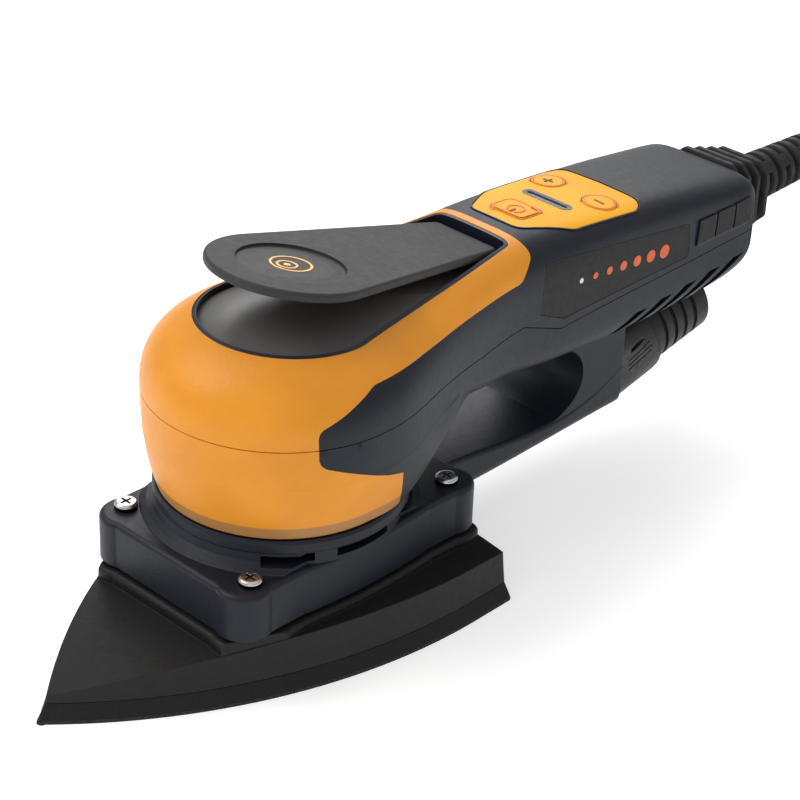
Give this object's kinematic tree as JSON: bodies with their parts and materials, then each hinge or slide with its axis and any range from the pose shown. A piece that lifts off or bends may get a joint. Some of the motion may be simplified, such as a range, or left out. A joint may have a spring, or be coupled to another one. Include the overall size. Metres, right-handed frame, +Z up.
{
  "type": "detail sander",
  "caption": "Corded detail sander with a triangular pad, round motor head, palm lever, key panel, rear dust outlet and coiled mains cable.",
  "frame": {"origin": "on the motor axis, at the middle of the pad's sanding face", "axes": "+Z up out of the sanding face, +Y along the handle towards the cable, -Y towards the pad's nose"},
  "size_m": [0.1258, 0.5058, 0.1216],
  "materials": {
    "yellow_case": "satin, fine leather grain",
    "navy_case": "satin, fine grain",
    "rim_plastic": "satin",
    "well_plastic": "semi-gloss",
    "panel_yellow": "satin",
    "lens_black": "gloss",
    "badge_plate": "satin",
    "lever_plastic": "matt",
    "black_plastic": "matt",
    "pad_plastic": "matt",
    "pad_foam": "closed-cell foam",
    "rubber_black": "matt",
    "screw_steel": "zinc plated",
    "bracket_aluminium": "cast",
    "magnet": "plated",
    "copper_wire": "enamelled",
    "board_green": "laminate",
    "small_parts": "moulded"
  },
  "bodies": {
    "housing": {"head_cover": "yellow_case", "head_skirt": "yellow_case", "handle_upper_shell": "navy_case", "handle_lower_shell": "navy_case", "motor_collar": "navy_case", "shroud": "navy_case", "dust_duct": "navy_case", "lever_rim": "rim_plastic", "lever_well": "well_plastic", "control_panel": "panel_yellow", "indicator_lens": "lens_black", "badge_left": "badge_plate", "badge_right": "badge_plate", "outlet_collar": "black_plastic", "cord_clamp": "black_plastic", "plug_body": "black_plastic", "cord_boot": "rubber_black", "cord_sleeve": "rubber_black", "power_cord": "rubber_black", "cord_coil": "rubber_black", "cord_tail": "rubber_black", "pad_legs": "rubber_black", "inner_cable": "rubber_black", "shroud_screws": "screw_steel", "housing_screws": "screw_steel", "lever_pivot_pin": "screw_steel", "lever_spring": "screw_steel", "lower_bearing": "screw_steel", "upper_bearing": "screw_steel", "plug_pins": "screw_steel", "stator_core": "screw_steel", "lower_bearing_bracket": "bracket_aluminium", "upper_bearing_bracket": "bracket_aluminium", "smoothing_capacitor": "bracket_aluminium", "stator_windings": "copper_wire", "control_board": "board_green", "key_board": "board_green", "key_switches": "small_parts", "hall_sensor": "small_parts"},
    "rotor": {"motor_shaft": "screw_steel", "rotor_core": "screw_steel", "rotor_magnets": "magnet", "cooling_fan": "black_plastic", "eccentric": "screw_steel", "counterweight": "screw_steel", "pad_bolt": "screw_steel"},
    "pad": {"pad_plate": "pad_plastic", "pad_foam": "pad_foam", "pad_hook_layer": "pad_foam", "pad_bearing": "screw_steel"},
    "lever": {"lever": "lever_plastic", "lever_disc": "lever_plastic", "lever_magnet": "magnet"},
    "spigot": {"outlet_spigot": "black_plastic"},
    "plus_key": {"plus_button": "panel_yellow"},
    "minus_key": {"minus_button": "panel_yellow"},
    "power_key": {"power_button": "panel_yellow"}
  },
  "joints": [
    {"name": "lever_pivot", "type": "hinge", "parent": "housing", "child": "lever", "pos_m": [0, 0.075, 0.0969], "axis": [1, 0, 0], "range_deg": [0, 6], "stiffness_Nm_per_rad": 0.25, "springref_deg": -20.05, "deforming": ["lever_spring"]},
    {"name": "plus_press", "type": "slide", "parent": "housing", "child": "plus_key", "axis": [0, 0, -1], "range_m": [0, 0.0008], "stiffness_N_per_m": 1500, "springref_m": -0.0004},
    {"name": "minus_press", "type": "slide", "parent": "housing", "child": "minus_key", "axis": [0, 0, -1], "range_m": [0, 0.0008], "stiffness_N_per_m": 1500, "springref_m": -0.0004},
    {"name": "power_press", "type": "slide", "parent": "housing", "child": "power_key", "axis": [0, 0, -1], "range_m": [0, 0.0008], "stiffness_N_per_m": 1500, "springref_m": -0.0004},
    {"name": "rotor_spin", "type": "hinge", "parent": "housing", "child": "rotor", "pos_m": [0, 0, 0.06], "axis": [0, 0, 1], "continuous": true},
    {"name": "pad_orbit", "type": "hinge", "parent": "rotor", "child": "pad", "pos_m": [0.0015, 0, 0.0175], "axis": [0, 0, 1], "continuous": true},
    {"name": "spigot_swivel", "type": "hinge", "parent": "housing", "child": "spigot", "pos_m": [0, 0.1732, 0.0376], "axis": [0, 0.9799, 0.1994], "continuous": true}
  ],
  "couplings": [
    {"joint": "pad_orbit", "follows": "rotor_spin", "ratio": -1}
  ]
}
